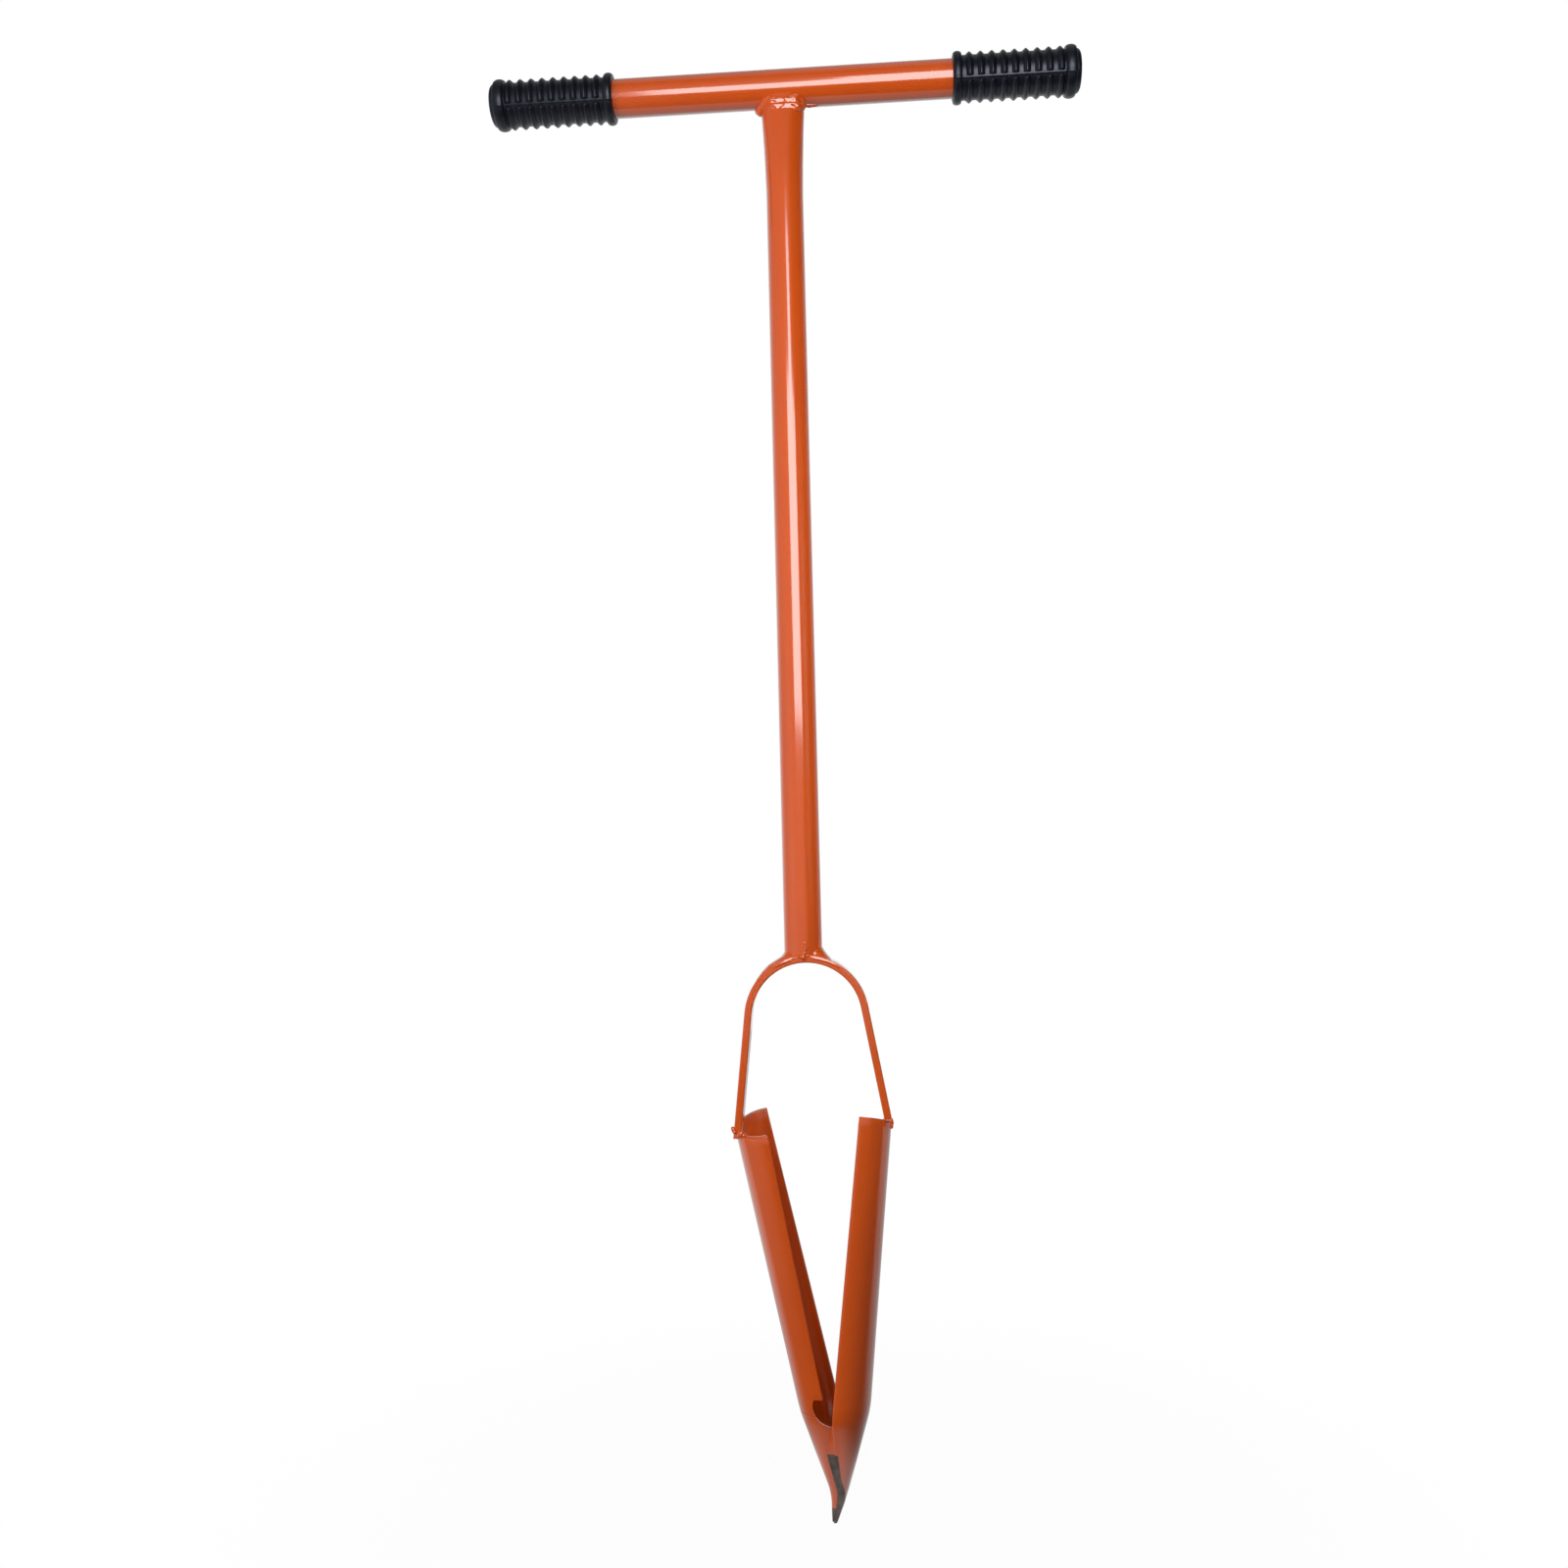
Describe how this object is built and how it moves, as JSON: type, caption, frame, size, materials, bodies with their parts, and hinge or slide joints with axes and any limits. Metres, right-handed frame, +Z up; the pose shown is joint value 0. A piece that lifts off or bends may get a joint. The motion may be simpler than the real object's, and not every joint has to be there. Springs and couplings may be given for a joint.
{
  "type": "earth auger",
  "caption": "Hand earth auger: tube T-handle with ribbed rubber grips, tube shaft, bent flat-bar bow and paired half-pipe blades that meet in a ground point.",
  "frame": {"origin": "on the shaft's axis at the level of the blade tips", "axes": "+Z up along the shaft to the handle, X along the handle, -Y towards the side that the picture shows"},
  "size_m": [0.4096, 0.042, 0.9839],
  "materials": {
    "orange_paint": "glossy orange enamel over welded steel, bare ground steel on the cutting edges",
    "grip_rubber": "soft black moulded rubber with a slight sheen"
  },
  "bodies": {
    "root": {"handle_tube": "orange_paint", "left_grip": "grip_rubber", "right_grip": "grip_rubber", "handle_weld": "orange_paint", "shaft_tube": "orange_paint", "bow_weld": "orange_paint", "bow_bar": "orange_paint", "left_blade_weld": "orange_paint", "right_blade_weld": "orange_paint", "left_blade": "orange_paint", "right_blade": "orange_paint", "tip_weld": "orange_paint"}
  },
  "joints": []
}
